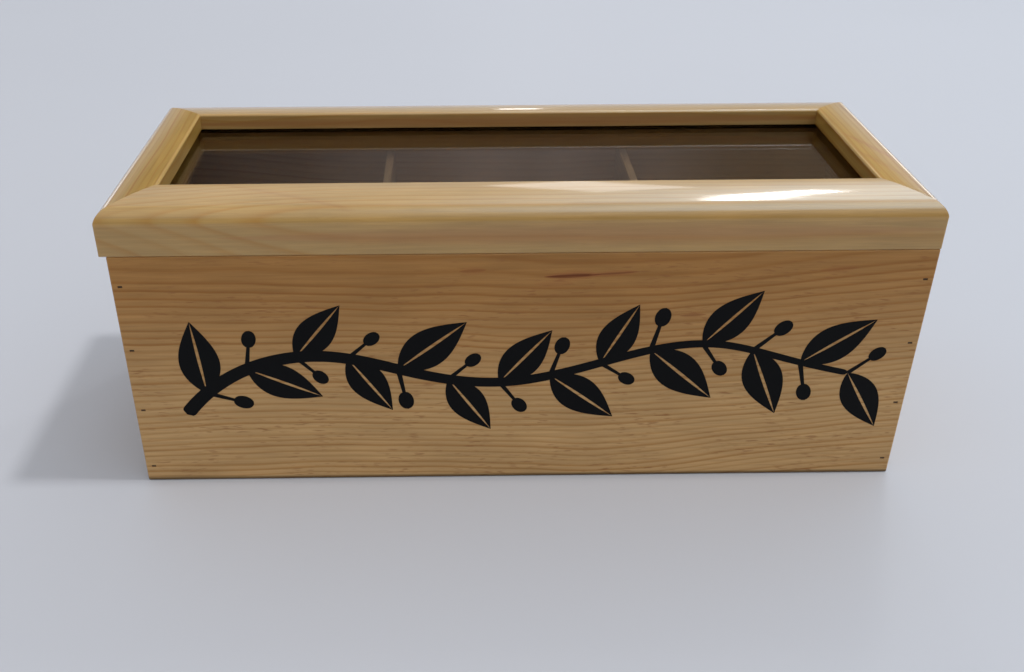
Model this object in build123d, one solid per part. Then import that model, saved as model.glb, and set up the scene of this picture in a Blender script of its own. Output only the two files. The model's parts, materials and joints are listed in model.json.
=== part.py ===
"""Pine seed box: three compartments under a hinged, glazed lid.

Two long panels are bradded over two end panels. The floor is let into a rebate from below, and two thin
dividers stand in saw-cut grooves. The lid is a mitred frame of rounded moulding with a pane in its groove.
It turns on two small butt hinges screwed to the back.

Millimetres. The front faces -Y, +X is to the right and +Z is up. The origin is the centre of the base, on
the surface the box stands on.
"""

import os

from build123d import *

# ---- Driving dimensions -------------------------------------------------------------------------------

# Box
box_length = 330.0            # outside, along X
box_depth = 122.0             # outside, along Y
box_height = 112.5            # base to rim
wall = 7.0                    # thickness of the panels
edge_ease = 0.8               # rounding of the outside edges of the wood

# Floor
floor_thickness = 4.0
floor_rebate = 3.5            # width of the ledge cut into the foot of each wall

# Dividers
divider_thickness = 3.6
divider_groove_depth = 3.0
divider_drop = 2.0            # top of a divider below the rim
divider_ease = 0.5            # rounding of a divider's top edges
left_compartment = 98.0       # clear length, left end to left divider
right_compartment = 102.0     # clear length, right divider to right end

# Lid frame
lid_overhang_left = 2.7       # the frame is a little longer than the box and sits towards the left
lid_overhang_right = 0.0
lid_overhang_front = 0.2
lid_thickness = 22.0
rail_width = 21.4
crown_radius = 60.0           # the top of a rail is a shallow arc, level at the inside edge
shoulder_radius = 7.2         # and rounds over generously into the flat side
lid_corner_round = 0.6
sight_edge_ease = 1.2         # rounding of the inside top edge of the rails

# Glazing
sight_height = 7.2            # inside face of the rail above the groove
glass_groove_height = 5.0
glass_groove_depth = 6.0
glass_thickness = 3.0
glass_edge_gap = 1.0          # between the edge of the pane and the bottom of its groove
lower_lip_setback = 2.5       # the rail below the pane stands back from the rail above it
glass_arris = 0.3

# Brads, flat wire with a T head
brad_width = 1.25
brad_thickness = 1.05
brad_head_width = 1.9
brad_head_height = 0.7
brad_point = 1.2
brad_sink = 0.3               # head punched below the wood
corner_brad_length = 20.0
corner_brad_rows = 4
corner_brad_margin = 8.0      # lowest brad above the base
corner_brad_top_margin = 13.5  # highest brad below the rim
floor_brad_length = 15.0
end_floor_brad_inset = 28.0   # from the outside corner to the floor brad in an end panel

# Hinges
hinge_length = 25.4
hinge_inset = 60.0            # from the end of the box to the middle of a hinge
leaf_thickness = 1.0
leaf_reach = 10.0             # seam to the far edge of a leaf
leaf_corner = 1.5
knuckle_count = 3
knuckle_gap = 0.2             # end play between neighbouring knuckles
pin_radius = 0.9
pin_clearance = 0.05          # running fit of the pin in the lid's knuckles
pin_head_radius = 1.35
pin_head_height = 0.5
leaf_window_clearance = 0.4   # from a leaf's edge to the other leaf's knuckle

# Hinge screws
screw_radius = 1.0
screw_head_radius = 2.0
screw_length = 6.2
screw_slot_width = 0.5
screw_slot_depth = 0.45
screw_spacing = 15.0
screw_from_seam = 6.2

# Mitre nails, driven into the underside of the lid
mitre_nail_leg = 4.5
mitre_nail_sheet = 0.5
mitre_nail_height = 6.0
mitre_nail_places = (0.27, 0.62)   # along the mitre, as shares of the rail's width

# ---- Derived places -----------------------------------------------------------------------------------

half_length = box_length / 2
half_depth = box_depth / 2
inside_half_length = half_length - wall
inside_half_depth = half_depth - wall
floor_half_length = inside_half_length + floor_rebate
floor_half_depth = inside_half_depth + floor_rebate
left_divider_x = -inside_half_length + left_compartment + divider_thickness / 2
right_divider_x = inside_half_length - right_compartment - divider_thickness / 2
compartment_middles = [
    -inside_half_length + left_compartment / 2,
    (left_divider_x + right_divider_x) / 2,
    inside_half_length - right_compartment / 2,
]

lid_left = -half_length - lid_overhang_left
lid_right = half_length + lid_overhang_right
lid_front = -half_depth - lid_overhang_front
lid_back = half_depth
lid_middle_x = (lid_left + lid_right) / 2
lid_middle_y = (lid_front + lid_back) / 2
crown_centre_height = lid_thickness - crown_radius
groove_floor = lid_thickness - sight_height - glass_groove_height
glass_engagement = glass_groove_depth - glass_edge_gap

barrel_radius = pin_radius + leaf_thickness
pin_y = half_depth + barrel_radius
knuckle_pitch = hinge_length / knuckle_count
hinge_middles = {"left": -half_length + hinge_inset, "right": half_length - hinge_inset}

LOW = (Align.MIN, Align.MIN, Align.MIN)
HANGING = (Align.CENTER, Align.CENTER, Align.MAX)


# ---- Shared shapes ------------------------------------------------------------------------------------

def block(low, high):
    """Solid box between two opposite corners."""
    size = [top - bottom for bottom, top in zip(low, high)]
    return Pos(*low) * Box(*size, align=LOW)


def outlined_box():
    """The box's outside as one block with eased edges, from which each panel is cut flush."""
    body = block((-half_length, -half_depth, 0), (half_length, half_depth, box_height))
    return fillet(body.edges(), edge_ease)


def brad(length):
    """A brad under a wood surface at local z = 0, pointing down, with its head wide along local X."""
    head = brad_head_width / 2
    wire = brad_width / 2
    head_top = -brad_sink
    head_foot = head_top - brad_head_height
    tip = head_top - length
    outline = [
        (-head, head_top), (-head, head_foot), (-wire, head_foot), (-wire, tip + brad_point),
        (0, tip),
        (wire, tip + brad_point), (wire, head_foot), (head, head_foot), (head, head_top),
    ]
    return extrude(Plane.XZ * Polygon(*outline, align=None), brad_thickness / 2, both=True)


def brad_hole(length):
    """The space a brad and its punch leave in the wood."""
    return brad(length) + Box(brad_head_width, brad_thickness, brad_sink, align=HANGING)


def spread(count, first, last):
    """Evenly spaced places from first to last."""
    step = (last - first) / (count - 1)
    return [first + step * place for place in range(count)]


# ---- Brads --------------------------------------------------------------------------------------------

def corner_brad_planes(side):
    """Where the brads enter one long panel: side is -1 for the front and 1 for the back."""
    heights = spread(corner_brad_rows, corner_brad_margin, box_height - corner_brad_top_margin)
    places = [(end * (half_length - wall / 2), side * half_depth, z) for end in (-1, 1) for z in heights]
    return [Plane(origin=place, x_dir=(1, 0, 0), z_dir=(0, side, 0)) for place in places]


def floor_brad_planes():
    """Where the floor brads enter the rebated ledge: one at each compartment and two in each end."""
    ledge_x = inside_half_length + floor_rebate / 2
    ledge_y = inside_half_depth + floor_rebate / 2
    end_y = half_depth - end_floor_brad_inset
    long_places = [(x, side * ledge_y, 0) for side in (-1, 1) for x in compartment_middles]
    end_places = [(end * ledge_x, side * end_y, 0) for end in (-1, 1) for side in (-1, 1)]
    planes = [Plane(origin=place, x_dir=(1, 0, 0), z_dir=(0, 0, -1)) for place in long_places]
    return planes + [Plane(origin=place, x_dir=(0, 1, 0), z_dir=(0, 0, -1)) for place in end_places]


def set_in(planes, make, length):
    """One solid for each plane."""
    return [plane * make(length) for plane in planes]


# ---- Hinges -------------------------------------------------------------------------------------------

def knuckle_spans(middle, first):
    """X spans of every second knuckle, starting with number first."""
    start = middle - hinge_length / 2
    return [
        (start + number * knuckle_pitch, start + (number + 1) * knuckle_pitch)
        for number in range(first, knuckle_count, 2)
    ]


def along_pin(radius, low_x, high_x):
    """Cylinder on the hinge axis between two X places."""
    axis_start = Plane(origin=(low_x, pin_y, box_height), z_dir=(1, 0, 0))
    return axis_start * Cylinder(radius, high_x - low_x, align=(Align.CENTER, Align.CENTER, Align.MIN))


def leaf_screws(middle, up, make):
    """The two screws of one leaf, or their holes: up is 1 on the lid and -1 on the box."""
    screw_y = half_depth + leaf_thickness
    screw_z = box_height + up * screw_from_seam
    places = [(middle + side * screw_spacing / 2, screw_y, screw_z) for side in (-1, 1)]
    return [Plane(origin=place, x_dir=(1, 0, 0), z_dir=(0, 1, 0)) * make() for place in places]


def hinge_screws(up, make):
    """The screws of both hinges on one side of the seam, or their holes."""
    return [solid for middle in hinge_middles.values() for solid in leaf_screws(middle, up, make)]


def screw_shape():
    """A countersunk screw whose head is flush with local z = 0, without its slot."""
    head = Cone(screw_radius, screw_head_radius, leaf_thickness, align=HANGING)
    return head + Cylinder(screw_radius, screw_length, align=HANGING)


def screw():
    """The screw with a straight driver slot."""
    slot = Box(2 * screw_head_radius, screw_slot_width, screw_slot_depth, align=HANGING)
    return screw_shape() - slot


def hinge_leaf(middle, up, first_knuckle, bore_radius):
    """One leaf, rolled round the pin: up is 1 on the lid and -1 on the box."""
    far_edge = box_height + up * leaf_reach
    low_z, high_z = sorted((far_edge, box_height))
    left = middle - hinge_length / 2
    right = middle + hinge_length / 2
    leaf = block((left, half_depth, low_z), (right, half_depth + leaf_thickness, high_z))
    far_corners = leaf.edges().filter_by(Axis.Y).group_by(Axis.Z)[-1 if up > 0 else 0]
    leaf = fillet(far_corners, leaf_corner)

    window_edge = box_height + up * (barrel_radius + leaf_window_clearance)
    low_z, high_z = sorted((window_edge, box_height))
    for start, end in knuckle_spans(middle, 1 - first_knuckle):
        leaf -= block((start, half_depth, low_z), (end, half_depth + leaf_thickness, high_z))

    for start, end in knuckle_spans(middle, first_knuckle):
        leaf += along_pin(barrel_radius, start + knuckle_gap / 2, end - knuckle_gap / 2)
    for start, end in knuckle_spans(middle, first_knuckle):
        leaf -= block((start, half_depth, low_z), (start + knuckle_gap / 2, pin_y, high_z))
        leaf -= block((end - knuckle_gap / 2, half_depth, low_z), (end, pin_y, high_z))
    leaf -= along_pin(bore_radius, left, right)
    return leaf - leaf_screws(middle, up, screw_shape)


def hinge_pin(middle):
    """The pin, peened over at both ends of the barrel."""
    left = middle - hinge_length / 2 + knuckle_gap / 2
    right = middle + hinge_length / 2 - knuckle_gap / 2
    pin = along_pin(pin_radius, left, right)
    left_head = along_pin(pin_head_radius, left - pin_head_height, left)
    right_head = along_pin(pin_head_radius, right, right + pin_head_height)
    return pin + left_head + right_head


# ---- Box ----------------------------------------------------------------------------------------------

def divider(middle):
    """A thin board from the floor almost to the rim, its ends in the grooves of the long panels."""
    reach = inside_half_depth + divider_groove_depth
    board = block(
        (middle - divider_thickness / 2, -reach, floor_thickness),
        (middle + divider_thickness / 2, reach, box_height - divider_drop),
    )
    top_edges = board.edges().filter_by(Axis.Y).group_by(Axis.Z)[-1]
    return fillet(top_edges, divider_ease)


def divider_groove(middle, side):
    """The saw cut for a divider's end, open at the rim."""
    bottom = side * (inside_half_depth + divider_groove_depth)
    mouth = side * inside_half_depth
    low_y, high_y = sorted((bottom, mouth))
    return block(
        (middle - divider_thickness / 2, low_y, floor_thickness),
        (middle + divider_thickness / 2, high_y, box_height),
    )


def floor_board():
    """Flat floor, flush with the foot of the walls."""
    low = (-floor_half_length, -floor_half_depth, 0)
    return block(low, (floor_half_length, floor_half_depth, floor_thickness))


def long_panel(side):
    """Front or back panel: side is -1 for the front and 1 for the back."""
    low_y, high_y = sorted((side * half_depth, side * inside_half_depth))
    panel = outlined_box() & block((-half_length, low_y, 0), (half_length, high_y, box_height))
    panel -= floor_board()
    return panel - [divider_groove(middle, side) for middle in (left_divider_x, right_divider_x)]


def end_panel(side):
    """Left or right end: side is -1 for the left and 1 for the right."""
    low_x, high_x = sorted((side * half_length, side * inside_half_length))
    panel = outlined_box() & block((low_x, -inside_half_depth, 0), (high_x, inside_half_depth, box_height))
    return panel - floor_board()


# ---- Lid ----------------------------------------------------------------------------------------------

def region(low_u, low_v, high_u, high_v):
    """Flat rectangle between two opposite corners."""
    size = (high_u - low_u, high_v - low_v)
    return Pos(low_u, low_v) * Rectangle(*size, align=(Align.MIN, Align.MIN))


def vertex_at(sketch, u, v):
    """The corner of a sketch nearest to a point."""
    return sketch.vertices().sort_by_distance((u, v, 0))[0]


def rail_section():
    """Section of the moulding: u runs inwards from the outside face, v up from the seam."""
    crown = Pos(rail_width, crown_centre_height) * Circle(crown_radius)
    section = region(0, 0, rail_width, lid_thickness) & crown
    groove_side = rail_width - glass_groove_depth
    section -= region(groove_side, groove_floor, rail_width, groove_floor + glass_groove_height)
    section -= region(rail_width - lower_lip_setback, 0, rail_width, groove_floor)
    section = fillet(vertex_at(section, 0, lid_thickness), shoulder_radius)
    section = fillet(vertex_at(section, 0, 0), edge_ease)
    return fillet(vertex_at(section, rail_width, lid_thickness), sight_edge_ease)


def mitred_rail(length):
    """A rail along local +X, its outside face on local Y = 0 and both ends mitred."""
    rail = extrude(Plane.YZ * rail_section(), length)
    inner_corners = [(length - rail_width, rail_width), (rail_width, rail_width)]
    mitred = Polygon((0, 0), (length, 0), *inner_corners, align=None)
    rounded = RectangleRounded(length, 2 * rail_width, lid_corner_round, align=(Align.MIN, Align.MIN))
    return rail & extrude(mitred & rounded, lid_thickness)


def lid_rail(corner, next_corner):
    """The rail between two outside corners of the lid, taken anticlockwise from above."""
    side = Vector(*next_corner) - Vector(*corner)
    place = Plane(origin=(*corner, box_height), x_dir=side, z_dir=(0, 0, 1))
    return place * mitred_rail(side.length)


def mitre_nail(corner_x, corner_y, share):
    """A folded steel nail across a mitre, flush with the underside of the lid."""
    toward_x = 1 if corner_x < lid_middle_x else -1
    toward_y = 1 if corner_y < lid_middle_y else -1
    fold_x = corner_x + toward_x * share * rail_width
    fold_y = corner_y + toward_y * share * rail_width
    half_sheet = mitre_nail_sheet / 2
    top = box_height + mitre_nail_height
    span_x = sorted((fold_x - toward_x * half_sheet, fold_x + toward_x * mitre_nail_leg))
    span_y = sorted((fold_y - toward_y * half_sheet, fold_y + toward_y * mitre_nail_leg))
    leg_x = block((span_x[0], fold_y - half_sheet, box_height), (span_x[1], fold_y + half_sheet, top))
    leg_y = block((fold_x - half_sheet, span_y[0], box_height), (fold_x + half_sheet, span_y[1], top))
    return leg_x + leg_y


def glass_pane():
    """The pane, resting on the lower side of its groove."""
    inset = rail_width - glass_engagement
    bottom = box_height + groove_floor
    pane = block(
        (lid_left + inset, lid_front + inset, bottom),
        (lid_right - inset, lid_back - inset, bottom + glass_thickness),
    )
    return chamfer(pane.edges(), glass_arris)


# ---- Pieces -------------------------------------------------------------------------------------------

def box_pieces():
    """Everything that stays put: panels, floor, dividers and their brads."""
    front_brads = set_in(corner_brad_planes(-1), brad, corner_brad_length)
    back_brads = set_in(corner_brad_planes(1), brad, corner_brad_length)
    floor_brads = set_in(floor_brad_planes(), brad, floor_brad_length)
    front_holes = set_in(corner_brad_planes(-1), brad_hole, corner_brad_length)
    back_holes = set_in(corner_brad_planes(1), brad_hole, corner_brad_length)
    floor_holes = set_in(floor_brad_planes(), brad_hole, floor_brad_length)
    pilot_holes = hinge_screws(-1, screw_shape)
    return {
        "front_panel": long_panel(-1) - front_holes - floor_holes,
        "back_panel": long_panel(1) - back_holes - floor_holes - pilot_holes,
        "left_end_panel": end_panel(-1) - front_holes - back_holes - floor_holes,
        "right_end_panel": end_panel(1) - front_holes - back_holes - floor_holes,
        "floor_panel": floor_board() - floor_holes,
        "left_divider": divider(left_divider_x),
        "right_divider": divider(right_divider_x),
        "front_brads": front_brads,
        "back_brads": back_brads,
        "floor_brads": floor_brads,
    }


def lid_pieces():
    """The mitred frame, its nails and the pane."""
    front_corners = [(lid_left, lid_front), (lid_right, lid_front)]
    corners = front_corners + [(lid_right, lid_back), (lid_left, lid_back)]
    nails = [mitre_nail(x, y, share) for x, y in corners for share in mitre_nail_places]
    names = ("lid_front_rail", "lid_right_rail", "lid_back_rail", "lid_left_rail")
    pieces = {
        name: lid_rail(corner, next_corner) - nails
        for name, corner, next_corner in zip(names, corners, corners[1:] + corners[:1])
    }
    pieces["lid_back_rail"] -= hinge_screws(1, screw_shape)
    pieces["lid_mitre_nails"] = nails
    pieces["glass_pane"] = glass_pane()
    return pieces


def hinge_pieces():
    """Two butt hinges and their screws."""
    pieces = {"hinge_box_screws": hinge_screws(-1, screw), "hinge_lid_screws": hinge_screws(1, screw)}
    for side, middle in hinge_middles.items():
        pieces[f"{side}_hinge_box_leaf"] = hinge_leaf(middle, -1, 0, pin_radius)
        pieces[f"{side}_hinge_lid_leaf"] = hinge_leaf(middle, 1, 1, pin_radius + pin_clearance)
        pieces[f"{side}_hinge_pin"] = hinge_pin(middle)
    return pieces


def write(pieces):
    """One STEP file for each named piece or group of like pieces."""
    os.makedirs("parts", exist_ok=True)
    for name, shape in pieces.items():
        solids = shape if isinstance(shape, list) else [shape]
        export_step(Compound([solid for item in solids for solid in item.solids()]), f"parts/{name}.step")


write(box_pieces() | lid_pieces() | hinge_pieces())
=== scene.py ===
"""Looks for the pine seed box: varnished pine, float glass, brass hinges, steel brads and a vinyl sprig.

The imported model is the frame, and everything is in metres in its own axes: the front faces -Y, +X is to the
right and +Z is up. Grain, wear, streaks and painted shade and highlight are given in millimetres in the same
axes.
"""

import json
import math

import bpy
from mathutils import Matrix, Vector

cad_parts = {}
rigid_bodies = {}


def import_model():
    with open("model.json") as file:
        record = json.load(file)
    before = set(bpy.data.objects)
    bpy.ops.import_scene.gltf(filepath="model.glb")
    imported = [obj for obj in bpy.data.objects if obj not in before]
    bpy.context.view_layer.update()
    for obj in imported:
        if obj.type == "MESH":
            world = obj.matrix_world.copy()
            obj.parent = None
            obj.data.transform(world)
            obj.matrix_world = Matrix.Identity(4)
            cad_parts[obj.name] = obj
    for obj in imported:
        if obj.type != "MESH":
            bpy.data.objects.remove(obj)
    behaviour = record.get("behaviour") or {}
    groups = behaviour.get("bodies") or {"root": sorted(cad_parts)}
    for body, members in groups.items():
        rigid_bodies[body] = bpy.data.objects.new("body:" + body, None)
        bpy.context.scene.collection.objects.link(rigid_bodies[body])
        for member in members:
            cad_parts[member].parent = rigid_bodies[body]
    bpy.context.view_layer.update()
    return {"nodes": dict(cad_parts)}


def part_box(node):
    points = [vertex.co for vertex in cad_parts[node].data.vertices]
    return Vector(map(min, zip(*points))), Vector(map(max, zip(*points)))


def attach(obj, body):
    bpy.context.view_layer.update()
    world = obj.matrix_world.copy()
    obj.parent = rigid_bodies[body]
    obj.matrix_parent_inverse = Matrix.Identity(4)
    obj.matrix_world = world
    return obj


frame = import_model()

MM = 0.001


# ---- Node graphs --------------------------------------------------------------------------------------

class Field:
    """What one node gives. Sums on a number add Math nodes to its graph."""

    def __init__(self, graph, socket):
        self.graph, self.socket = graph, socket

    def sum(self, operation, *terms):
        return self.graph.add("ShaderNodeMath", {"operation": operation}, dict(enumerate(terms)))

    def __add__(self, other):
        return self.sum("ADD", self, other)

    def __radd__(self, other):
        return self.sum("ADD", other, self)

    def __sub__(self, other):
        return self.sum("SUBTRACT", self, other)

    def __rsub__(self, other):
        return self.sum("SUBTRACT", other, self)

    def __mul__(self, other):
        return self.sum("MULTIPLY", self, other)

    def __rmul__(self, other):
        return self.sum("MULTIPLY", other, self)

    def __truediv__(self, other):
        return self.sum("DIVIDE", self, other)

    def __rtruediv__(self, other):
        return self.sum("DIVIDE", other, self)

    def __pow__(self, other):
        return self.sum("POWER", self, other)

    def __mod__(self, other):
        return self.sum("FLOORED_MODULO", self, other)

    def __abs__(self):
        return self.sum("ABSOLUTE", self)

    def __neg__(self):
        return 0 - self

    def least(self, other):
        return self.sum("MINIMUM", self, other)

    def most(self, other):
        return self.sum("MAXIMUM", self, other)


class Graph:
    """A node tree under construction, of a material or of Geometry Nodes."""

    def __init__(self, tree):
        self.tree = tree
        tree.nodes.clear()

    def add(self, kind, settings=None, sockets=None, give=0):
        """Adds a node: settings first, then each socket gets a value, a Field or a list of Fields."""
        node = self.tree.nodes.new(kind)
        for name, value in (settings or {}).items():
            if name == "stops":
                self.set_stops(node.color_ramp, value)
            else:
                setattr(node, name, value)
        for key, value in (sockets or {}).items():
            for item in value if isinstance(value, list) else [value]:
                if isinstance(item, Field):
                    self.tree.links.new(item.socket, node.inputs[key])
                else:
                    node.inputs[key].default_value = item
        if isinstance(give, tuple):
            return [Field(self, node.outputs[pick]) for pick in give]
        return Field(self, node.outputs[give])

    def set_stops(self, ramp, stops):
        while len(ramp.elements) < len(stops):
            ramp.elements.new(1)
        for element, (place, shade) in zip(ramp.elements, stops):
            element.position = place
            element.color = (shade, shade, shade, 1)

    def vector(self, x, y, z):
        return self.add("ShaderNodeCombineXYZ", sockets={0: x, 1: y, 2: z})

    def split(self, vector):
        return self.add("ShaderNodeSeparateXYZ", sockets={0: vector}, give=(0, 1, 2))

    def vectors(self, operation, first, second=(0.0, 0.0, 0.0), give=0):
        return self.add("ShaderNodeVectorMath", {"operation": operation}, {0: first, 1: second}, give)

    def scaled(self, vector, amount):
        """A vector or colour times a number."""
        return self.add("ShaderNodeVectorMath", {"operation": "SCALE"}, {0: vector, 3: amount})

    def tinted(self, colour, tint):
        """One colour times another."""
        sockets = {0: 1.0, 6: colour, 7: (*tint, 1.0)}
        return self.add("ShaderNodeMix", {"data_type": "RGBA", "blend_type": "MULTIPLY"}, sockets, give=2)

    def rise(self, value, low, high):
        """0 below low, 1 above high and smooth between; low may be the greater."""
        settings = {"interpolation_type": "SMOOTHSTEP"}
        return self.add("ShaderNodeMapRange", settings, {0: value, 1: low, 2: high, 3: 0.0, 4: 1.0})

    def curve(self, value, stops):
        return self.add("ShaderNodeValToRGB", {"stops": stops}, {0: value})

    def blend(self, share, first, second):
        """From the first colour to the second."""
        first, second = [c if isinstance(c, Field) else (*c, 1.0) for c in (first, second)]
        settings = {"data_type": "RGBA", "clamp_factor": True}
        return self.add("ShaderNodeMix", settings, {0: share, 6: first, 7: second}, give=2)

    def noise(self, place, seed, scale=1.0, detail=2.0, rough=0.5):
        """Smooth noise between 0 and 1, about 0.5."""
        sockets = {"Vector": place, "W": seed, "Scale": scale, "Detail": detail, "Roughness": rough}
        return self.add("ShaderNodeTexNoise", {"noise_dimensions": "4D"}, sockets)

    def place(self):
        """Where a point of the piece is, in millimetres."""
        return self.scaled(self.add("ShaderNodeTexCoord", give="Object"), 1 / MM)


class Finish(Graph):
    """A material, with one Principled surface."""

    def __init__(self, name):
        self.material = bpy.data.materials.new(name)
        self.material.use_nodes = True
        super().__init__(self.material.node_tree)

    def relief(self, height, depth):
        """A Normal from a height between 0 and 1 that stands for depth millimetres."""
        sockets = {"Height": height, "Distance": depth * MM, "Strength": 1.0}
        return self.add("ShaderNodeBump", sockets=sockets)

    def surface(self, sockets):
        shader = self.add("ShaderNodeBsdfPrincipled", sockets=sockets)
        self.add("ShaderNodeOutputMaterial", sockets={0: shader}, give=())
        return self.material


# ---- Wood ---------------------------------------------------------------------------------------------

EDGE_WEAR_AND_SHEEN = 0.9               # millimetres from an edge that is paled, partly by handling wear and partly as a painted highlight on the eased edge
END_GRAIN = (0.62, 0.55, 0.47)
HEARTWOOD = (0.7, 0.55, 0.36)
FLECK = (0.30, 0.13, 0.045)
# Pitch colour, also used for the painted shade in the lid seam and along two rails
PITCH_AND_SHADE = (0.36, 0.13, 0.045)
DEEP_PITCH = (0.14, 0.035, 0.008)
VARNISH_ROUGHNESS = 0.09
UNDER_VARNISH_SHINE = 0.12
SEAM = 112.5                  # where the lid rests on the walls
SEAM_SHADE = 0.5              # millimetres of painted seam shadow to each side of it
FOOT_SHADE = 2.4              # and of painted contact shadow up from the foot


# How dark a year's growth is, from its first wood at 0 to its last at 1
LATE_WOOD = [(0.0, 0.25), (0.1, 0.0), (0.55, 0.2), (0.88, 1.0), (1.0, 0.25)]


def grain_axes(g, run, vector):
    """A vector's parts along the grain, across the board and through it."""
    x, y, z = g.split(vector)
    return {"x": (x, z, y), "y": (y, x, z)}[run]


def edge_distance(g, node, place):
    """Millimetres to the nearest edge of a node's box, for a point on its faces."""
    low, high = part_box(node)
    middle, half = (low + high) / 2 / MM, (high - low) / 2 / MM
    a, b, c = [half[i] - abs(part - middle[i]) for i, part in enumerate(g.split(place))]
    return a.least(b).most(a.most(b).least(c))


def streak_distance(g, place, start, end, width):
    """Below 1 inside a streak that runs from start to end and tapers to both."""
    run = Vector(end) - Vector(start)
    off = g.vectors("SUBTRACT", place, start)
    share = g.vectors("DOT_PRODUCT", off, tuple(run / run.length_squared), give=1).most(0).least(1)
    gap = g.vectors("LENGTH", g.vectors("SUBTRACT", off, g.scaled(tuple(run), share)), give=1)
    return gap / (share * (1 - share) * 4 * width + 0.05)


def growth(g, along, across, deep, heart, ring, seed, bends):
    """Radius from the pith, how late in its year the wood grew and how strong that year was."""
    drift = g.noise(g.vector(along / 150, across / 90, deep / 90), seed) - 0.5
    wave = g.noise(g.vector(along / 38, across / 16, deep / 16), seed + 1) - 0.5
    up, inward = across + drift * 14 + wave * 1.6, deep + drift * 6
    for start, end, rise, run_in in bends:
        swing = g.rise(along, start, end)
        up, inward = up - swing * rise, inward - swing * run_in
    radius = ((up - heart[0]) ** 2 + (inward - heart[1]) ** 2) ** 0.5
    year = radius / ring + g.noise(g.vector(0, 0, radius / 9), seed + 2) * 1.6
    within = year % 1
    strength = g.add("ShaderNodeTexWhiteNoise", {"noise_dimensions": "1D"}, {"W": year - within + seed})
    late = g.curve(within, LATE_WOOD)
    return radius, late, strength


def pine(node, run, heart, ring, pale, late, seed, contrast=1.0, flecks=0.5, core=None, bends=(), streaks=(),
         gloss=0.3, coat=0.5):
    """Pine sawn from a log whose pith lies at heart, millimetres across and through the board.

    Rings, fibres and flecks are solid patterns, so they turn the corner to the end grain. core is the radius
    where the heartwood starts and that where it is full. bends swing the grain: (from, to, across, through).
    streaks are pitch pockets and long bands of painted shade: (start, end, half width, how strong its colour
    is (staining, and painted shade for the bands), how strong the pitch).
    """
    g = Finish(node + "_wood")
    place = g.place()
    along, across, deep = grain_axes(g, run, place)
    radius, lateness, strength = growth(g, along, across, deep, heart, ring, seed, bends)
    fibre = g.noise(g.vector(along / 16, across / 0.45, deep / 0.45), seed + 3, detail=3.0)
    thread = g.noise(g.vector(along / 34, across / 1.3, deep / 1.3), seed + 4, detail=2.0)
    mottle = g.noise(g.vector(along / 46, across / 15, deep / 15), seed + 5, detail=3.0)
    cluster = g.rise(g.noise(g.vector(along / 30, across / 12, deep / 12), seed + 6, detail=1.0), 0.38, 0.62)
    fleck = g.noise(g.vector(along / 6, across / 0.95, deep / 0.95), seed + 7, detail=1.5)
    fleck = g.rise(fleck, 0.54, 0.72) * cluster

    colour = g.blend(lateness * (0.35 + strength * 0.65) * contrast * (0.6 + fibre * 0.8), pale, late)
    if core:
        colour = g.blend(g.rise(radius, *core), colour, g.tinted(colour, HEARTWOOD))
    tone = 1 + (fibre - 0.5) * 0.3 + (thread - 0.5) * 0.42 + (mottle - 0.5) * 0.4
    colour = g.blend(fleck * flecks * 0.75, g.scaled(colour, tone), FLECK)
    # Pitch streaks, and long bands of painted shade along the rails, in the pitch colour
    for start, end, width, stain_and_shade, pitch in streaks:
        reach = streak_distance(g, place, start, end, width) + (fibre - 0.5) * 0.8
        colour = g.blend(g.rise(reach, 2.6, 0.4) * stain_and_shade, colour, PITCH_AND_SHADE)
        if pitch:
            colour = g.blend(g.rise(reach, 1.1, 0.2) * pitch, colour, DEEP_PITCH)

    facing = g.split(g.add("ShaderNodeTexCoord", give="Normal"))
    cut = g.rise(abs(facing["xy".index(run)]), 0.55, 0.8)
    upright = g.rise(abs(facing[2]), 0.7, 0.3)
    colour = g.blend(cut, colour, g.tinted(colour, END_GRAIN))
    # Edges paled and less glossy: handling wear, and partly a painted highlight where the eased edges catch
    # light
    rub_and_sheen = g.rise(edge_distance(g, node, place) + (fibre - 0.5) * 1.2, EDGE_WEAR_AND_SHEEN, 0.0)
    colour = g.blend(rub_and_sheen * 0.3, colour, [min(1.0, c * 1.25) for c in pale])
    up = g.split(place)[2]
    # Painted shade: the seam where the lid meets the walls is darkened on upright faces
    colour = g.blend(g.rise(abs(up - SEAM), SEAM_SHADE, 0.0) * upright * 0.75, colour, PITCH_AND_SHADE)
    # Painted contact shadow: the bottom few millimetres of every piece are darkened
    colour = g.scaled(colour, 1 - g.rise(up, FOOT_SHADE, 0.8) * 0.7)

    return g.surface({
        "Base Color": colour,
        "Roughness": gloss + lateness * 0.05 + (mottle - 0.5) * 0.1 + rub_and_sheen * 0.12 + cut * 0.15,
        "Specular IOR Level": UNDER_VARNISH_SHINE,
        "Normal": g.relief(fibre * 0.5 + lateness * 0.3 - fleck * 0.2, 0.02),
        "Coat Weight": coat,
        "Coat Roughness": VARNISH_ROUGHNESS,
    })


# ---- Glass, metal and vinyl ---------------------------------------------------------------------------

def float_glass():
    """Pane tinted grey, which paints shade over the inside of the box, with a faint haze of wiping."""
    g = Finish("pane_glass_clear")
    along, across, _ = g.split(g.place())
    wipe = g.noise(g.vector(along / 60, across / 22, 0), 3.0, detail=4.0)
    haze = g.rise(wipe, 0.52, 0.8)
    return g.surface({
        # Grey tint that paints shade over the inside seen through the pane
        "Base Color": (0.62, 0.59, 0.57, 1.0),
        "Roughness": haze * 0.035,
        "IOR": 1.5,
        "Transmission Weight": 1.0,
    })


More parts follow.
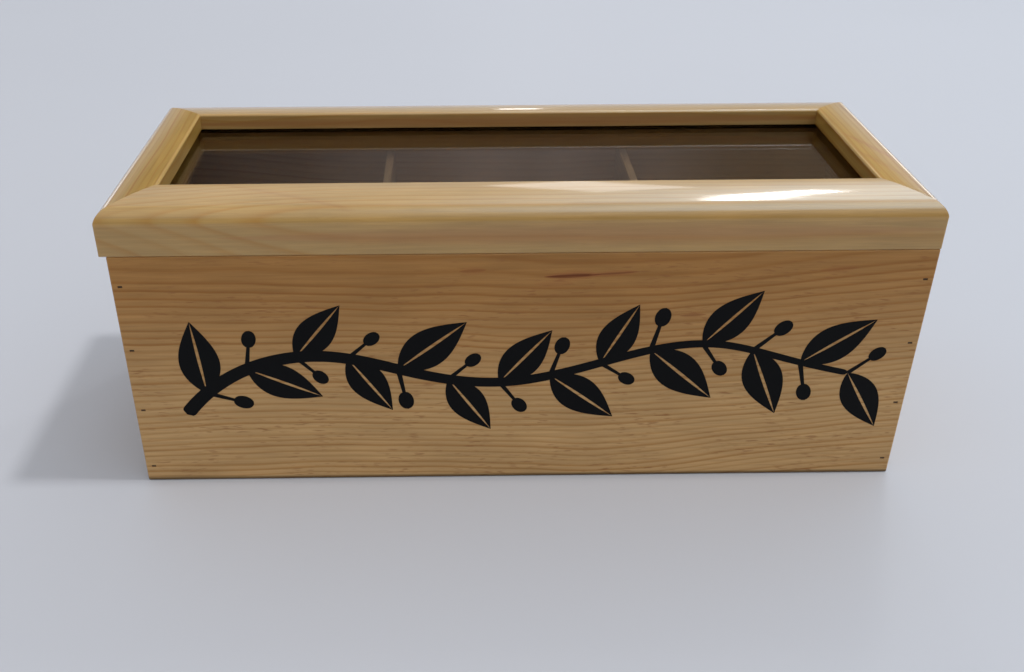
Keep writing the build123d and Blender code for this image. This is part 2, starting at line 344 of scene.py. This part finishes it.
def metal(name, bright, dull, seed, rough, metallic=1.0, brushed="x", tarnish=0.5):
    """Metal with brushing along one axis and dull patches."""
    g = Finish(name)
    along, across, deep = grain_axes(g, brushed, g.place())
    brush = g.noise(g.vector(along / 6, across / 0.12, deep / 0.12), seed, detail=2.0)
    cloud = g.noise(g.vector(along / 5, across / 4, deep / 4), seed + 1, detail=3.0)
    patch = g.rise(cloud, 0.45, 0.75) * tarnish
    colour = g.scaled(g.blend(patch, bright, dull), 0.85 + brush * 0.3)
    return g.surface({
        "Base Color": colour,
        "Metallic": metallic - patch * 0.25,
        "Roughness": rough + patch * 0.22 + (brush - 0.5) * 0.12,
        "Normal": g.relief(brush, 0.003),
    })


VINYL_SHINE = 0.07


def vinyl():
    """Matt black cut film."""
    g = Finish("black_vinyl")
    along, across, deep = g.split(g.place())
    peel = g.noise(g.vector(along / 1.6, across, deep / 1.6), 5.0, detail=2.0)
    cloud = g.noise(g.vector(along / 40, across, deep / 25), 6.0)
    return g.surface({
        "Base Color": g.blend(cloud, (0.0035, 0.004, 0.0045), (0.006, 0.0065, 0.0075)),
        "Roughness": 0.42 + (cloud - 0.5) * 0.12,
        "Specular IOR Level": VINYL_SHINE,
        "Normal": g.relief(peel, 0.012),
    })


# ---- Sprig --------------------------------------------------------------------------------------------

# The stem's run over the front panel, millimetres along X and up Z
STEM = [(-143, 36), (-128, 56), (-88, 72), (-44, 54), (-2, 48), (42, 64), (82, 74), (112, 60), (138, 54)]
SPRIG_SIZES = {
    "Stem Width": 6.2 * MM,
    "Leaf Length": 35.0 * MM,
    "Leaf Width": 15.5 * MM,
    "Leaf Lean": math.radians(50),
    "Vein Width": 1.3 * MM,
    "Stalk Length": 12.0 * MM,
    "Stalk Width": 2.0 * MM,
    "Seed Length": 8.6 * MM,
    "Seed Width": 6.2 * MM,
    "Film": 0.1 * MM,
}
LEAF_COUNT = 14
SPRIG_SEED = 7


class Sprig(Graph):
    """Geometry Nodes that grow leaves and stalked seeds along a stem, as flat film in the XY plane."""

    def __init__(self):
        tree = bpy.data.node_groups.new("vinyl_sprig", "GeometryNodeTree")
        super().__init__(tree)
        kinds = {name: "Float" for name in SPRIG_SIZES}
        kinds |= {"Leaves": "Int", "Seed": "Int", "Vinyl": "Material"}
        self.socket("Stem", "Geometry")
        self.ids = {name: self.socket(name, kind) for name, kind in kinds.items()}
        self.socket("Film", "Geometry", "OUTPUT")
        names = ("Stem", *self.ids)
        self.given = dict(zip(names, self.add("NodeGroupInput", give=names)))

    def socket(self, name, kind, way="INPUT"):
        return self.tree.interface.new_socket(name, in_out=way, socket_type="NodeSocket" + kind)

    def patch(self, columns, rows, shape):
        """A grid of the unit square bent by shape(u, v), which gives x and y."""
        grid = self.add("GeometryNodeMeshGrid", sockets={0: 1.0, 1: 1.0, 2: columns, 3: rows})
        x, y, _ = self.split(self.add("GeometryNodeInputPosition"))
        place = shape(x + 0.5, y + 0.5)
        return self.add("GeometryNodeSetPosition", sockets={0: grid, 2: place})

    def mirrored(self, mesh):
        """The same shape on the other side of the X axis, still facing up."""
        other = self.add("GeometryNodeTransform", sockets={"Geometry": mesh, "Scale": (1.0, -1.0, 1.0)})
        return self.add("GeometryNodeFlipFaces", sockets={0: other})

    def joined(self, *parts):
        return self.add("GeometryNodeJoinGeometry", sockets={0: list(parts)})

    def thick(self, flat, share):
        """Closed film on the plane, a share of the film's thickness high."""
        top = self.add("GeometryNodeExtrudeMesh", sockets={
            "Mesh": flat,
            "Offset": (0.0, 0.0, 1.0),
            "Offset Scale": self.given["Film"] * share,
            "Individual": False,
        })
        bottom = self.add("GeometryNodeFlipFaces", sockets={0: flat})
        return self.add("GeometryNodeMergeByDistance", sockets={
            "Geometry": self.joined(top, bottom), "Distance": 0.001 * MM,
        })

    def rounded(self, u, share):
        """0 at both ends of u and 1 between, as the ends of a pen stroke."""
        near = 1 - (u.least(1 - u) / share).least(1)
        return (1 - near * near).most(0) ** 0.5

    def stem(self):
        def shape(u, v):
            at, toward = self.add("GeometryNodeSampleCurve", {"mode": "FACTOR"},
                                  {"Curves": self.given["Stem"], "Factor": u}, give=("Position", "Tangent"))
            side = self.vectors("CROSS_PRODUCT", (0.0, 0.0, 1.0), toward)
            width = self.given["Stem Width"] * (1 - u * 0.55) * self.rounded(u, 0.008)
            return self.vectors("ADD", at, self.scaled(side, (v - 0.5) * width))
        return self.thick(self.patch(320, 3, shape), 0.85)

    def leaf(self):
        """A pointed leaf along +X, parted by its vein."""
        def shape(u, v):
            swell = (u ** 0.8 * math.pi).sum("SINE", u ** 0.8 * math.pi).most(0)
            half = swell * self.given["Leaf Width"] / 2
            vein = self.given["Vein Width"] * 2 * u * (1 - u)
            return self.vector(u * self.given["Leaf Length"], vein + v * half, 0.0)
        half = self.patch(22, 4, shape)
        return self.thick(self.joined(half, self.mirrored(half)), 1.0)

    def seed(self):
        """An oval seed on a thin stalk along +X."""
        def stalk(u, v):
            width = self.given["Stalk Width"] * (1.1 - u * 0.4)
            return self.vector(u * self.given["Stalk Length"], (v - 0.5) * width, 0.0)

        def oval(u, v):
            half = self.rounded(u, 0.5) * self.given["Seed Width"]
            reach = self.given["Stalk Length"] * 0.93 + u * self.given["Seed Length"]
            return self.vector(reach, (v - 0.5) * half, 0.0)
        return self.joined(self.thick(self.patch(6, 2, stalk), 0.7), self.thick(self.patch(21, 3, oval), 1.0))

    def along_stem(self, piece, start, end, first, side, lean):
        """Copies of a piece at every other place along the stem, leaning to one side of it."""
        reach = self.add("GeometryNodeTrimCurve", {"mode": "FACTOR"},
                         {0: self.given["Stem"], "Start": start, "End": end})
        points, turn = self.add("GeometryNodeCurveToPoints", {"mode": "COUNT"},
                                {"Curve": reach, "Count": self.given["Leaves"]}, give=("Points", "Tangent"))
        index = self.add("GeometryNodeInputIndex")
        axes = {"axis": "X", "pivot_axis": "Z"}
        heading = self.add("FunctionNodeAlignRotationToVector", axes, {"Vector": turn})
        sway = self.add("FunctionNodeRandomValue", {"data_type": "FLOAT"},
                        {"Min": -0.1, "Max": 0.1, "Seed": self.given["Seed"]}, give=1)
        size = self.add("FunctionNodeRandomValue", {"data_type": "FLOAT"},
                        {"Min": 0.9, "Max": 1.06, "Seed": self.given["Seed"]}, give=1)
        turned = self.add("FunctionNodeRotateRotation", {"rotation_space": "LOCAL"}, {
            "Rotation": heading,
            "Rotate By": self.add("FunctionNodeEulerToRotation", sockets={
                0: self.vector(0.0, 0.0, (lean + sway) * side),
            }),
        })
        chosen = (index + 1 - first) % 2
        return self.add("GeometryNodeInstanceOnPoints", sockets={
            "Points": points, "Selection": chosen, "Instance": piece, "Rotation": turned, "Scale": size,
        })

    def finish(self):
        leaf, seed = self.leaf(), self.seed()
        lean = self.given["Leaf Lean"]
        parts = [self.stem()]
        for first, side in ((0, 1), (1, -1)):
            parts.append(self.along_stem(leaf, 0.05, 1.0, first, side, lean))
            parts.append(self.along_stem(seed, 0.05, 1.0, first, -side, lean * 1.15))
        whole = self.add("GeometryNodeRealizeInstances", sockets={0: self.joined(*parts)})
        whole = self.add("GeometryNodeSetMaterial", sockets={0: whole, "Material": self.given["Vinyl"]})
        self.add("NodeGroupOutput", sockets={0: whole}, give=())
        return self.tree


def stem_curve():
    """The stem's line, flat in the XY plane."""
    curve = bpy.data.curves.new("sprig_stem", "CURVE")
    curve.dimensions = "3D"
    curve.resolution_u = 24
    spline = curve.splines.new("NURBS")
    spline.points.add(len(STEM) - 1)
    for point, (along, up) in zip(spline.points, STEM):
        point.co = (along * MM, up * MM, 0, 1)
    spline.order_u = 4
    spline.use_endpoint_u = True
    line = bpy.data.objects.new("sprig_stem", curve)
    bpy.context.scene.collection.objects.link(line)
    return line


def vinyl_sprig():
    """The sprig as film on the front panel."""
    line = stem_curve()
    sprig = Sprig()
    grown = line.modifiers.new("sprig", "NODES")
    grown.node_group = sprig.finish()
    values = SPRIG_SIZES | {"Leaves": LEAF_COUNT, "Seed": SPRIG_SEED, "Vinyl": vinyl()}
    for name, value in values.items():
        grown[sprig.ids[name].identifier] = value
    whole = line.evaluated_get(bpy.context.evaluated_depsgraph_get())
    mesh = bpy.data.meshes.new_from_object(whole)
    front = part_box("front_panel")[0].y
    mesh.transform(Matrix.Translation((0, front, 0)) @ Matrix.Rotation(math.pi / 2, 4, "X"))
    bpy.data.objects.remove(line)
    film = bpy.data.objects.new("front_sprig", mesh)
    bpy.context.scene.collection.objects.link(film)
    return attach(film, "box")


# ---- Room ---------------------------------------------------------------------------------------------

FLOOR_HALF = 6.0
TABLE_SHINE = 0.25
FLOOR_COLOUR = (0.51, 0.52, 0.56)
BACKDROP_COLOUR = (0.56, 0.57, 0.6)      # all that is seen directly past the table
WALL_COLOUR = (0.5, 0.505, 0.51)        # the room near the horizon
SHELF_COLOUR = (0.35, 0.295, 0.265)     # a dim band above it, seen mirrored in the pane
CORNER_COLOUR = (0.06, 0.05, 0.045)     # darker to the left
CABINET_COLOUR = (0.26, 0.19, 0.125)    # and browner to the right
SIDE_COLOUR = (0.6, 0.585, 0.56)
LOW_WINDOW_COLOUR = (3.2, 3.2, 3.4)     # low at both sides, mirrored or through the pane
CEILING_COLOUR = (0.62, 0.64, 0.67)
GLOW_COLOUR = (0.8, 0.88, 1.0)          # daylight high behind
HALO_COLOUR = (3.2, 4.2, 5.0)           # round the window there, mirrored or through the pane
HALO = (0.49, 0.3, 0.82)                # towards the middle of the halo
HIGH_PANE_COLOUR = (3.0, 4.2, 5.2)      # overhead to the right, seen only mirrored
HIGH_PANE = (0.55, -0.35, 0.76)
LAMPLIT_COLOUR = (0.21, 0.15, 0.095)    # warm on the side that the front faces
SKYLIGHT_COLOUR = (1.04, 1.06, 1.08)
SKYLIGHT = (0.25, -0.42, 0.87)          # towards the middle of the skylight


def floor():
    """Pale table top."""
    mesh = bpy.data.meshes.new("floor")
    corners = [(-1, -1), (1, -1), (1, 1), (-1, 1)]
    mesh.from_pydata([(x * FLOOR_HALF, y * FLOOR_HALF, 0) for x, y in corners], [], [(0, 1, 2, 3)])
    g = Finish("pale_table")
    cloud = g.noise(g.place(), 1.0, scale=0.004)
    mesh.materials.append(g.surface({
        "Base Color": g.scaled((*FLOOR_COLOUR,), 0.985 + cloud * 0.03),
        "Roughness": 0.55,
        "Specular IOR Level": TABLE_SHINE,
    }))
    top = bpy.data.objects.new("floor", mesh)
    bpy.context.scene.collection.objects.link(top)


def room_light():
    world = bpy.data.worlds.new("room")
    world.use_nodes = True
    g = Graph(world.node_tree)
    toward = g.add("ShaderNodeTexCoord", give="Generated")
    x, y, z = g.split(toward)
    behind = g.rise(y, 0.25, 0.55)
    upright = g.noise(g.vector(x * 11, 0, z * 2), 4.0, detail=3.0)
    shelf = g.blend(g.rise(x, 0.12, 0.3), SHELF_COLOUR, CABINET_COLOUR)
    colour = g.scaled(g.blend(g.rise(x, -0.3, 0.06), CORNER_COLOUR, shelf), 0.5 + upright)
    colour = g.blend(g.rise(z, 0.3, 0.16), colour, WALL_COLOUR)
    high = g.rise(z, 0.43, 0.54)
    colour = g.blend(high, colour, CEILING_COLOUR)
    left_glow = g.rise(z + g.rise(x, -0.1, -0.3) * 0.1, 0.56, 0.68)
    colour = g.blend(high.least(left_glow.most(g.rise(x, -0.25, -0.05))) * behind, colour, GLOW_COLOUR)
    colour = g.blend(g.rise(abs(x), 0.6, 0.85), colour, SIDE_COLOUR)
    rays = ("Is Glossy Ray", "Is Transmission Ray", "Is Camera Ray")
    mirrored, through, seen = g.add("ShaderNodeLightPath", give=rays)
    low_window = g.rise(abs(x), 0.42, 0.54) * g.rise(z, 0.1, 0.0) * behind
    colour = g.blend(low_window * mirrored, colour, LOW_WINDOW_COLOUR)
    halo = g.rise(g.vectors("DOT_PRODUCT", toward, HALO, give=1), 0.78, 1.0) * high
    colour = g.blend(halo * mirrored, colour, HALO_COLOUR)
    high_pane = g.rise(g.vectors("DOT_PRODUCT", toward, HIGH_PANE, give=1), 0.72, 1.0)
    high_pane = high_pane * g.rise(z, 0.62, 0.8)
    colour = g.blend(g.rise(y, -0.1, -0.5) * g.rise(z, 0.6, 0.4), colour, LAMPLIT_COLOUR)
    skylight = g.rise(g.vectors("DOT_PRODUCT", toward, SKYLIGHT, give=1), 0.6, 0.95)
    colour = g.blend(skylight, colour, SKYLIGHT_COLOUR)
    colour = g.blend(high_pane * (mirrored - through).most(0), colour, HIGH_PANE_COLOUR)
    colour = g.blend(seen, colour, BACKDROP_COLOUR)
    light = g.add("ShaderNodeBackground", sockets={0: colour, 1: 1.0})
    g.add("ShaderNodeOutputWorld", sockets={0: light}, give=())
    bpy.context.scene.world = world


FAR_LAMP = (0.42, 0.0, 0.907)           # towards the lamp, high on the right
FAR_LAMP_WIDTH = math.radians(4.5)
FAR_LAMP_STRENGTH = 1.04


def far_lamp():
    """The lamp that throws the shadow to the left."""
    lamp = bpy.data.lights.new("far_lamp", "SUN")
    lamp.angle = FAR_LAMP_WIDTH
    lamp.energy = FAR_LAMP_STRENGTH
    lit = bpy.data.objects.new("far_lamp", lamp)
    bpy.context.scene.collection.objects.link(lit)
    lit.matrix_world = Vector(FAR_LAMP).to_track_quat("Z", "Y").to_matrix().to_4x4()
    lit.visible_glossy = False


# Name: left and right end, the point it is aimed at, height and watts
SOFT_BOXES = {
    "window": ((0.455, 0.768, 1.075), (0.51, 0.723, 1.112), (0.1, -0.055, 0.133), 0.24, 1.25),
    "middle_panel": ((0.1, 1.058, 0.812), (0.29, 0.908, 1.011), (0.02, -0.046, 0.134), 0.2, 0.55),
    "low_strip": ((0.05, 1.33, 0.33), (0.12, 1.33, 0.33), (0.004, 0.046, 0.134), 0.035, 0.06),
}


def soft_box(name, left, right, target, height, power):
    """An area lamp whose width runs from left to right, aimed at a point."""
    left, right = Vector(left), Vector(right)
    middle = (left + right) / 2
    lamp = bpy.data.lights.new(name, "AREA")
    lamp.shape = "RECTANGLE"
    lamp.size, lamp.size_y = (right - left).length, height
    lamp.energy = power
    box = bpy.data.objects.new(name, lamp)
    bpy.context.scene.collection.objects.link(box)
    across = (right - left).normalized()
    up = (middle - Vector(target)).cross(across).normalized()
    turn = Matrix((across, up, across.cross(up))).transposed().to_4x4()
    box.matrix_world = Matrix.Translation(middle) @ turn


CAMERA_PLACE = Vector((-0.02745, -0.42056, 0.30231))
CAMERA_FORWARD = Vector((0.00786, 0.87494, -0.48417))
CAMERA_UP = Vector((0.0097, 0.4841, 0.87496))
SENSOR_WIDTH = 36.0
LENS = 36.256
SHIFT = (0.04747, -0.06016)


def camera():
    data = bpy.data.cameras.new("camera")
    data.sensor_width = SENSOR_WIDTH
    data.lens = LENS
    data.shift_x, data.shift_y = SHIFT
    data.clip_start = 0.01
    seen = bpy.data.objects.new("camera", data)
    bpy.context.scene.collection.objects.link(seen)
    right = CAMERA_FORWARD.cross(CAMERA_UP).normalized()
    back = -CAMERA_FORWARD.normalized()
    up = back.cross(right)
    turn = Matrix((right, up, back)).transposed().to_4x4()
    seen.matrix_world = Matrix.Translation(CAMERA_PLACE) @ turn
    bpy.context.scene.camera = seen


# ---- Dressing -----------------------------------------------------------------------------------------

BOARD_PALE, BOARD_LATE = (0.565, 0.36, 0.16), (0.435, 0.23, 0.078)
RAIL_PALE, RAIL_LATE = (0.45, 0.285, 0.1), (0.40, 0.2, 0.045)
GOLDEN_PALE, GOLDEN_LATE = (0.44, 0.267, 0.062), (0.37, 0.17, 0.03)
# Darker than the outside boards, partly as painted shade inside the box
INSIDE_PALE, INSIDE_LATE = (0.42, 0.28, 0.14), (0.34, 0.2, 0.09)
FRONT_STREAKS = [
    ((8, -61, 101.8), (31, -61, 102.7), 1.1, 0.6, 0.9),
    ((26, -61, 102.5), (46, -61, 103.8), 0.7, 0.5, 0.5),
    ((4, -61, 98.5), (20, -61, 98.9), 0.9, 0.22, 0.0),
    ((-26, -61, 104.6), (-15, -61, 105.2), 1.0, 0.3, 0.25),
    ((64, -61, 83.0), (75, -61, 83.6), 0.8, 0.3, 0.4),
    ((118, -61, 103.5), (134, -61, 104.6), 0.8, 0.25, 0.15),
]
FRONT_RAIL_STREAKS_AND_SHADE = [
    ((-130, -38, 134.5), (-58, -62, 131.4), 1.3, 0.12, 0.1),
    # A long band of painted shade along the top of the rail's flat front
    ((-120, -61.2, 120.5), (172, -61.2, 121.5), 2.4, 0.32, 0.0),
]
RIGHT_RAIL_STREAKS = [
    ((145, 10, 134.5), (163, -24, 131.0), 1.3, 0.42, 0.05),
    ((144, -10, 134.5), (157, -38, 132.8), 1.0, 0.26, 0.0),
]
# A long band of painted shade along the back rail's inner face
BACK_RAIL_SHADE_BAND = [
    ((-170, 39.5, 129.5), (170, 39.5, 130.5), 1.5, 0.5, 0.0),
]


def wood_finishes():
    board = {"pale": BOARD_PALE, "late": BOARD_LATE, "contrast": 1.35, "coat": 0.15}
    rail = {"pale": RAIL_PALE, "late": RAIL_LATE, "contrast": 0.8, "flecks": 0.15, "coat": 1.0}
    golden = rail | {"pale": GOLDEN_PALE, "late": GOLDEN_LATE, "contrast": 1.2}
    inside = {"pale": INSIDE_PALE, "late": INSIDE_LATE, "gloss": 0.55, "coat": 0.0}
    return {
        "front_panel": pine("front_panel", "x", (126, -20), 2.7, seed=11, flecks=0.9, core=(104, 36),
                            bends=[(10, 260, 17, 0)], streaks=FRONT_STREAKS, **board),
        "back_panel": pine("back_panel", "x", (-40, 90), 3.2, seed=23, bends=[(-20, -240, 12, 0)], **board),
        "left_end_panel": pine("left_end_panel", "y", (-220, 160), 2.6, seed=31, **board),
        "right_end_panel": pine("right_end_panel", "y", (230, 170), 2.8, seed=41, **board),
        "lid_front_rail": pine("lid_front_rail", "x", (95, 30), 2.3, seed=53, bends=[(-60, -230, 0, -14)],
                               streaks=FRONT_RAIL_STREAKS_AND_SHADE, **rail),
        "lid_back_rail": pine("lid_back_rail", "x", (85, -20), 2.6, seed=61,
                              streaks=BACK_RAIL_SHADE_BAND, **rail),
        "lid_left_rail": pine("lid_left_rail", "y", (-90, 100), 2.4, seed=71, **golden),
        "lid_right_rail": pine("lid_right_rail", "y", (90, 95), 2.6, seed=83,
                               streaks=RIGHT_RAIL_STREAKS, **golden),
        "floor_panel": pine("floor_panel", "x", (-30, 40), 4.5, seed=97, **inside),
        "left_divider": pine("left_divider", "y", (10, 30), 3.0, seed=101, **inside),
        "right_divider": pine("right_divider", "y", (-10, 20), 3.0, seed=107, **inside),
    }


def metal_finishes():
    steel = metal("dull_steel", (0.10, 0.06, 0.035), (0.05, 0.028, 0.015), 5, 0.6, metallic=0.35,
                  tarnish=1.0)
    zinc = metal("nail_zinc", (0.5, 0.5, 0.5), (0.3, 0.29, 0.28), 6, 0.35)
    leaf = metal("hinge_brass_leaf", (0.72, 0.5, 0.2), (0.45, 0.3, 0.12), 7, 0.24)
    pin = metal("hinge_brass_pin", (0.76, 0.55, 0.24), (0.5, 0.33, 0.14), 8, 0.2)
    screw = metal("screw_brass", (0.5, 0.34, 0.14), (0.3, 0.19, 0.075), 9, 0.34)
    finishes = {name: steel for name in ("front_brads", "back_brads", "floor_brads")}
    finishes["lid_mitre_nails"] = zinc
    for side in ("left", "right"):
        finishes |= {f"{side}_hinge_box_leaf": leaf, f"{side}_hinge_lid_leaf": leaf, f"{side}_hinge_pin": pin}
    return finishes | {"hinge_box_screws": screw, "hinge_lid_screws": screw}


def dress():
    finishes = wood_finishes() | metal_finishes() | {"glass_pane": float_glass()}
    for name, node in frame["nodes"].items():
        for slot in node.material_slots:
            slot.material = finishes[name]


dress()
vinyl_sprig()
floor()
room_light()
far_lamp()
for name, settings in SOFT_BOXES.items():
    soft_box(name, *settings)
camera()
bpy.context.scene.view_settings.view_transform = "Standard"
